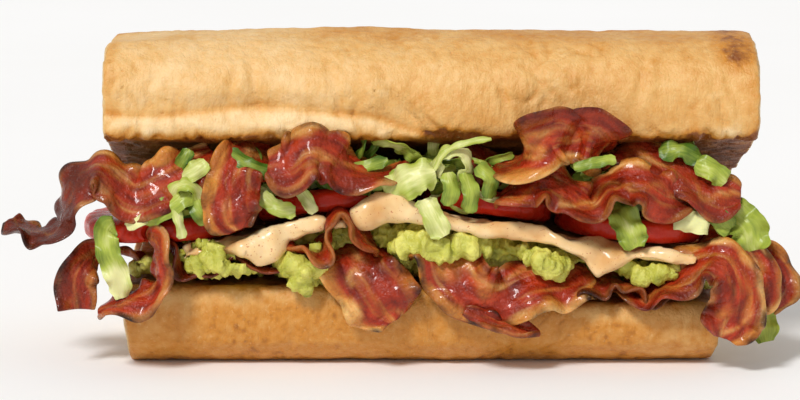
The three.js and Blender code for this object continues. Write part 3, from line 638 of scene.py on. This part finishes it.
def makeTomatoes():
    material = tomatoMaterial()
    for order, (name, (x, y, radius)) in enumerate(tomato["slices"].items()):
        piece = copyOfSolid(name, name + "_cut", tomato["voxel"], tomato["rounds"])

        def skinMask(p, n, x=x, y=y, radius=radius):
            return smooth((math.hypot(p.x - x, p.y - y) - radius + 2.2) / 0.8)

        def move(p, n, seed=order * 3.1):
            return 0.25 * rough(p, 4, seed) + 0.3 * rough(p, 11, seed + 2)

        reshape(piece, move, {"skinMask": skinMask})
        finishPiece(piece, "tomato", material, name)
    print("tomatoes", len(tomato["slices"]))


# Sauce
sauce = {
    "voxel": 0.75, "rounds": 8, "cream": "F0CB92", "shade": "DDA868", "light": "F8DDAE", "fleck": "B9511F",
    # where it bulges: x, half length, depth
    "swells": [(-50, 11, 1.4), (-14, 15, 1.0), (51, 9, 1.2), (30, 14, -0.6)],
}


def sauceMaterial():
    material, tree, shader, coords = newMaterial("paleSauce")
    place = coords.outputs["Object"]
    cream = colourRamp(tree, uneven(tree, place, 80, 0.3, 0.7, 3.0),
                       [(0.0, sauce["shade"]), (0.5, sauce["cream"]), (1.0, sauce["light"])])
    flecks = uneven(tree, place, 1300, 0.66, 0.7, 2.0)
    tree.links.new(mixColours(tree, maths(tree, "MULTIPLY", flecks, 0.7), cream, linear(sauce["fleck"])),
                   shader.inputs["Base Color"])
    shader.inputs["Roughness"].default_value = 0.24
    shader.inputs["Subsurface Weight"].default_value = 0.3
    shader.inputs["Subsurface Radius"].default_value = (3 * mm, 1.8 * mm, 1 * mm)
    bump(tree, shader, uneven(tree, place, 260, 0.3, 0.7, 3.0), 0.15, 0.5)
    return material


def sauceMove(p, n):
    if p.y > -34:
        return 0.0
    fuller = sum(depth * hump(p.x, x, half) for x, half, depth in sauce["swells"])
    return fuller + 1.9 * rough(p, 8, 2) + 0.8 * rough(p, 4, 4)


def makeSauce():
    piece = copyOfSolid("sauce", "sauceFlow", sauce["voxel"], sauce["rounds"])
    reshape(piece, sauceMove)
    finishPiece(piece, "sauce", sauceMaterial(), "sauce")
    print("sauce", len(piece.data.polygons))


# Mashed avocado
mash = {
    "voxel": 0.75, "rounds": 3, "pale": "E2DC6C", "creamy": "D9D164", "green": "B7B743", "dark": "55661A",
    "lumpSize": 5.0, "smallLump": 2.4,
}


def mashHollow(p, n):
    lumps = 0.42 * bubbly(p, mash["lumpSize"], 1) + 0.42 * bubbly(p, mash["smallLump"], 4)
    return smooth(lumps + 0.5 * rough(p, 1.8, 5))


def mashMove(p, n):
    if p.y > -20:
        return 0.0
    lumps = bubbly(p, mash["lumpSize"], 1) * 2.2 + bubbly(p, mash["smallLump"], 4) * 1.5
    outwards = 2.2 * smooth((-p.y - 34) / 5) * smooth((-n.y - 0.1) / 0.5)
    return lumps - 1.2 + outwards + 0.9 * rough(p, 8, 2) + 0.9 * rough(p, 1.7, 5)


def mashMaterial():
    material, tree, shader, coords = newMaterial("avocadoMash")
    place = coords.outputs["Object"]
    # Painted shade: the mash colour darkens in the hollows between lumps, down to the dark colour.
    hollowShadeMask = addNode(tree, "ShaderNodeMapRange", {"Value": attributeOf(tree, "hollowShadeMask"), "To Min": 0.34})
    tone = maths(tree, "MULTIPLY", uneven(tree, place, 150, 0.1, 0.62, 6.0), hollowShadeMask.outputs[0])
    colour = colourRamp(tree, tone, [(0.0, mash["dark"]), (0.26, mash["green"]), (0.74, mash["pale"])])
    creamy = uneven(tree, place, 260, 0.55, 0.7, 4.0)
    colour = mixColours(tree, maths(tree, "MULTIPLY", creamy, 0.5), colour, linear(mash["creamy"]))
    tree.links.new(colour, shader.inputs["Base Color"])
    wet = addNode(tree, "ShaderNodeMapRange", {"Value": uneven(tree, place, 350, 0.35, 0.65, 3.0),
                                               "To Min": 0.22, "To Max": 0.5})
    tree.links.new(wet.outputs[0], shader.inputs["Roughness"])
    shader.inputs["Subsurface Weight"].default_value = 0.25
    shader.inputs["Subsurface Radius"].default_value = (1.5 * mm, 1.5 * mm, 0.5 * mm)
    bump(tree, shader, uneven(tree, place, 600, 0.3, 0.7, 5.0), 0.8, 0.6)
    return material


def makeMash():
    piece = copyOfSolid("avocado_mash", "avocadoHeap", mash["voxel"], mash["rounds"])
    reshape(piece, mashMove, {"hollowShadeMask": mashHollow})
    finishPiece(piece, "mash", mashMaterial(), "avocado_mash")
    print("mash", len(piece.data.polygons))


# Lettuce
lettuce = {
    "thickness": 0.32, "pale": "E4E2A0", "green": "A9B548", "deep": "49681C",
    "leaves": {
        "lettuce_strip_left": dict(width=7.5, fade=0.5, path=[
            (-96, -40.5, 46.5, 62), (-98, -43.5, 44, 78), (-97.5, -45, 38, 88), (-95, -44.5, 31, 90),
            (-93.5, -43.5, 23.5, 90)]),
        "lettuce_leaf_end": dict(width=12, cup=1.5, path=[
            (84, -28, 50, 30), (90, -35, 48, 60), (96, -38, 44, 80), (98, -38, 37, 90)]),
        "lettuce_shred_low_right": dict(width=9, cup=1, path=[
            (93, -30, 33, 60), (98, -33, 26, 80), (101, -34, 18, 90), (103, -35, 8, 95)]),
        "lettuce_sliver_top": dict(width=3.6, path=[
            (42.5, -49.5, 64.6, 60), (47, -50.5, 65.8, 60), (51, -50, 66.6, 60), (55, -48.5, 66.8, 60)]),
        "lettuce_leaf_front": dict(width=9, cup=0.8, path=[
            (53, -35, 51.5, 30), (57, -41, 49.5, 65), (60, -44, 44, 85), (62, -43.5, 39, 90)]),
    },
    # the shreds that show most, each with its width and tone
    "shreds": [
        (4, 0.15, [(-77, -36, 61, 70), (-75, -38, 65, 80), (-73, -37, 68, 80)]),
        (6, 0.8, [(-75, -40, 60, 60), (-71, -41, 62.5, 70), (-68, -40, 65, 60)]),
        (5, 0.65, [(-79, -40, 54, 60), (-76, -43, 58, 40), (-72, -43, 58, 40), (-68, -42, 53, 70)]),
        (7, 0.6, [(-88, -40, 48, 80), (-82, -43, 50, 70), (-77, -43, 53, 60), (-73, -42, 56, 60)]),
        (7, 0.3, [(-71.5, -41.5, 55.5, 80), (-69.5, -43, 51, 85), (-66, -42, 47, 80)]),
        (3, 0.9, [(-77, -43, 52, 70), (-76, -44, 47, 60), (-75, -44, 42, 70)]),
        (3.5, 1.3, [(-92, -41.5, 45, 70), (-89, -43, 46.5, 70), (-86, -42, 48, 70)]),
        (5, 0.1, [(-62, -37, 67.5, 60), (-56, -39, 64, 65), (-50, -39, 61.5, 65), (-46, -38, 60, 60)]),
        (5, 0.75, [(-53, -38, 56, 70), (-50, -41, 53, 80), (-46, -42, 50.5, 85), (-41, -41, 50, 85)]),
        (4, 1.0, [(-42, -38, 58, 60), (-38, -41, 54, 75), (-35, -42, 49.5, 85)]),
        (4, 0.3, [(-33, -37, 59, 60), (-27, -39, 61, 60), (-20, -39, 63, 60), (-13, -38, 65, 60)]),
        (4.5, 0.45, [(-25, -38, 58, 60), (-18, -40, 58, 60), (-11, -40, 60, 60), (-6, -39, 62, 60)]),
        (10, 0.85, [(-13, -41, 54, 80), (-9, -43, 58, 75), (-4, -43.5, 61, 70), (1, -42, 62, 60)]),
        (5, 0.9, [(2.6, -40.5, 60, 35), (1.8, -41, 65, 35), (5, -42, 68.5, 35), (10, -42, 67.5, 35),
                  (11.5, -42, 63, 35), (8, -41, 59, 35)]),
        (2, 0.7, [(1, -42, 62.5, 50), (4, -43.5, 68, 50), (10, -44, 71, 50), (18, -43, 72.2, 50)]),
        (5, 0.5, [(5, -43, 62, 70), (6, -44.5, 57, 80), (5, -44, 52, 85)]),
        (5, 0.4, [(10, -43, 62, 60), (12, -45, 56, 75), (11, -44, 50, 85)]),
        (5, 0.3, [(14, -42, 64, 60), (18, -43, 60, 70), (17, -42, 54, 80)]),
        (7, 1.0, [(-2, -43, 54, 80), (0.5, -45.5, 49, 88), (4, -46, 43, 90)]),
        (6, 0.25, [(69, -36, 67, 60), (75, -37, 68, 60), (82, -36, 65, 60)]),
        (6.5, 0.6, [(80, -38, 64, 70), (85, -39, 62, 70), (89, -38, 58, 80)]),
        (7.5, 1.3, [(74, -40, 48, 80), (79, -42, 46.5, 85), (84, -41, 47, 80)]),
        (7, 0.35, [(84, -39, 50, 80), (88, -40.5, 47, 85), (91, -39, 44, 85)]),
    ],
    # smaller ones behind them: x from and to, height and its spread, how far out, length, width, count
    "clumps": [
        dict(span=(-92, -66), z=53, spread=9, out=-35, length=13, width=4, count=22, tone=0.5),
        dict(span=(-64, -46), z=60, spread=9, out=-33, length=12, width=4, count=10, tone=0.35),
        dict(span=(-38, -12), z=60, spread=8, out=-35, length=12, width=4, count=20, tone=0.3),
        dict(span=(-12, 18), z=59, spread=13, out=-34, length=13, width=3.6, count=40, tone=0.6),
        dict(span=(42, 58), z=60, spread=6, out=-32, length=12, width=4, count=8, tone=0.45),
        dict(span=(66, 84), z=56, spread=14, out=-32, length=11, width=4.5, count=22, tone=0.5),
    ],
}


def leafMaterial():
    material, tree, shader, coords = newMaterial("crispLeaf")
    uv, place = coords.outputs["UV"], coords.outputs["Object"]
    vein = addNode(tree, "ShaderNodeMapping", {"Vector": uv, "Scale": (1.2, 5, 1)})
    tone = maths(tree, "ADD", attributeOf(tree, "leafTone"),
                 maths(tree, "MULTIPLY", maths(tree, "SUBTRACT", uneven(tree, vein.outputs[0], 2.2, 0.3, 0.7),
                                               0.5), 0.26))
    colour = colourRamp(tree, tone, [(0.0, lettuce["deep"]), (0.5, lettuce["green"]), (1.0, lettuce["pale"])])
    tree.links.new(colour, shader.inputs["Base Color"])
    shader.inputs["Roughness"].default_value = 0.3
    shader.inputs["Specular IOR Level"].default_value = 0.3
    shader.inputs["Subsurface Weight"].default_value = 0.15
    shader.inputs["Subsurface Radius"].default_value = (1.2 * mm, 1 * mm, 0.3 * mm)
    bump(tree, shader, maths(tree, "ADD", uneven(tree, vein.outputs[0], 3, 0.3, 0.7, 5.0),
                             uneven(tree, place, 420, 0.3, 0.7, 4.0)), 0.2, 0.3)
    return material


def makeLeafBand(name, shape, columns, rows, seed, tone):
    points, width = shape["path"], shape["width"]
    length, cup = pathLength(points), shape.get("cup", 0)

    def halfWidth(t, v):
        ends = mix(0.55, 1, smooth(min(t, 1 - t) * 9))
        ragged = 0.26 * noise.noise(Vector((t * length / 4, v * 2, seed)))
        return width / 2 * ends * (1 + ragged + 0.1 * noise.noise(Vector((t * length / 1.3, v, seed))))

    def lift(t, v):
        spot = Vector((t * length, v * width / 2, seed))
        frill = 0.16 * width * abs(v) ** 1.5 * math.sin(2 * math.pi * t * length / 6.5 + seed + 1.3 * v)
        return cup * (v * v - 0.4) + frill + 0.5 * rough(spot, 3.5) + 0.2 * rough(spot, 1.6)

    piece, across = addBand(name, points, columns, rows, halfWidth, lift, 12, seed)
    fade = shape.get("fade", 0)
    tones = []
    for vertex, v in zip(piece.data.vertices, across):
        spot = vertex.co / mm
        paler = fade * smooth((38 - spot.z) / 8)
        tones.append(0.9 * tone - 0.25 * abs(v) + 0.1 + 0.35 * rough(spot, 6, 3) + paler)
    piece.data.attributes.new("leafTone", "FLOAT", "POINT").data.foreach_set("value", tones)
    return piece


def thicken(piece, thickness):
    applyModifier(piece, "SOLIDIFY", thickness=thickness * mm, offset=0)
    outwardFaces(piece)


# Keeps the cut edges of the leaves crisp
def crispEdges(piece):
    selectOnly(piece)
    bpy.ops.object.shade_smooth_by_angle(angle=math.radians(50))


def shredPath(draw, clump):
    x = mix(*clump["span"], draw.random())
    z = clump["z"] + clump["spread"] * (draw.random() - 0.5)
    y = clump["out"] + draw.uniform(-2, 5)
    length = clump["length"] * draw.uniform(0.6, 1.25)
    heading = draw.uniform(-0.9, 0.9) + (math.pi if draw.random() < 0.5 else 0)
    curl = draw.uniform(-2.2, 2.2)
    turn = draw.uniform(20, 110)
    points, here = [], Vector((x, y + 4, z))
    for i in range(5):
        t = i / 4
        points.append((here.x, here.y, here.z, turn + 50 * t * draw.uniform(-1, 1)))
        angle = heading + curl * t
        here = here + Vector((math.cos(angle), -0.9 * math.cos(math.pi * t), math.sin(angle))) * length / 4
    return points


# What the shreds lie on: an uneven slab over the tomato slices
def makeShredCore():
    left, right, back, front = -96, 90, 16, -30
    bpy.ops.object.select_all(action="DESELECT")
    bpy.ops.mesh.primitive_cube_add(size=2)
    shadedCore = bpy.context.object
    bpy.ops.object.mode_set(mode="EDIT")
    bpy.ops.mesh.select_all(action="SELECT")
    bpy.ops.mesh.subdivide(number_cuts=30)
    bpy.ops.object.mode_set(mode="OBJECT")
    for vertex in shadedCore.data.vertices:
        u, v, w = vertex.co
        x, y = mix(left, right, (u + 1) / 2), mix(back, front, (1 - v) / 2)
        forward = max(0, (20 - y) / 57)
        base = mix(36.5, 38 + 13.5 * math.exp(-((x + 8) / 47) ** 2), forward) + 8.8
        z = base + mix(0, mix(2, 4.5, forward) + 0.7 * math.sin(x / 9), (w + 1) / 2)
        vertex.co = (Vector((x, y, z)) + Vector((0, 0.6, 0.4)) * rough(Vector((x, y, z)), 4)) * mm
    outwardFaces(shadedCore)
    return shadedCore


def makeLettuce():
    material = leafMaterial()
    for order, (name, shape) in enumerate(lettuce["leaves"].items()):
        piece = makeLeafBand(name + "_leaf", shape, 40, 10, order * 5.1, 0.5)
        applyModifier(piece, "SUBSURF", levels=1, render_levels=1)
        thicken(piece, lettuce["thickness"])
        finishPiece(piece, "leaf", material, name)
        crispEdges(piece)
    draw = random.Random(77)
    shreds = [makeLeafBand("shred", dict(path=path, width=width, cup=0.12 * width * draw.choice((-1, 1))),
                           30, 8, draw.uniform(0, 90), tone) for width, tone, path in lettuce["shreds"]]
    for clump in lettuce["clumps"]:
        for i in range(clump["count"]):
            shape = dict(path=shredPath(draw, clump), width=clump["width"] * draw.uniform(0.5, 1.25),
                         cup=draw.uniform(-1, 1))
            shreds.append(makeLeafBand("shred", shape, 16, 5, draw.uniform(0, 90),
                                       clump["tone"] + draw.uniform(-0.3, 0.35)))
    shadedCore = makeShredCore()
    # The slab is dark green, in part leaf colour and in part painted shade between the shreds.
    shadedCore.data.attributes.new("leafTone", "FLOAT", "POINT").data.foreach_set(
        "value", [0.25] * len(shadedCore.data.vertices))
    shadedCore.data.uv_layers.new(name="UVMap")
    bpy.ops.object.select_all(action="DESELECT")
    for shred in shreds:
        shred.select_set(True)
    bpy.context.view_layer.objects.active = shreds[0]
    bpy.ops.object.join()
    heap = bpy.context.object
    thicken(heap, lettuce["thickness"])
    bpy.ops.object.select_all(action="DESELECT")
    shadedCore.select_set(True)
    heap.select_set(True)
    bpy.context.view_layer.objects.active = heap
    bpy.ops.object.join()
    heap.name = "shreddedLettuce"
    finishPiece(heap, "leaf", material, "lettuce_shredded")
    crispEdges(heap)
    print("lettuce", len(heap.data.polygons))


# Floor, light and camera
studio = {
    "world": 0.52, "sun": 2.25, "sunAngle": 12, "sunPlace": (-0.5, -0.95, 1.1),
    "target": (-9.4, -38, 52.7), "distance": 900, "elevation": 10, "frameWidth": 242.4,
}


def makeStudio():
    bpy.ops.object.select_all(action="DESELECT")
    bpy.ops.mesh.primitive_plane_add(size=12, location=(0, 0, 0))
    floor = bpy.context.object
    floor.name = "floor"
    material, tree, shader, coords = newMaterial("paleFloor")
    tree.links.new(colourRamp(tree, uneven(tree, coords.outputs["Object"], 3, 0.3, 0.7),
                              [(0.0, "F8F7F5"), (1.0, "FBFAF9")]), shader.inputs["Base Color"])
    shader.inputs["Roughness"].default_value = 0.9
    floor.data.materials.append(material)
    world = bpy.data.worlds.new("softRoom")
    world.use_nodes = True
    world.node_tree.nodes["Background"].inputs["Color"].default_value = (1, 1, 1, 1)
    world.node_tree.nodes["Background"].inputs["Strength"].default_value = studio["world"]
    bpy.context.scene.world = world
    bpy.context.scene.view_settings.view_transform = "Standard"
    place = Vector(studio["sunPlace"])
    bpy.ops.object.light_add(type="SUN", location=place)
    sun = bpy.context.object
    sun.data.energy = studio["sun"]
    sun.data.angle = math.radians(studio["sunAngle"])
    sun.rotation_euler = (-place).to_track_quat("-Z", "Y").to_euler()
    target = Vector(studio["target"]) * mm
    angle = math.radians(studio["elevation"])
    place = target + Vector((0, -math.cos(angle), math.sin(angle))) * studio["distance"] * mm
    bpy.ops.object.camera_add(location=place)
    camera = bpy.context.object
    camera.rotation_euler = (target - place).to_track_quat("-Z", "Y").to_euler()
    camera.data.sensor_width = 36
    camera.data.lens = 36 * studio["distance"] / studio["frameWidth"]
    bpy.context.scene.camera = camera
    print("studio ready")


makeStudio()
makeRoll()
makeBacon()
makeTomatoes()
makeSauce()
makeMash()
makeLettuce()
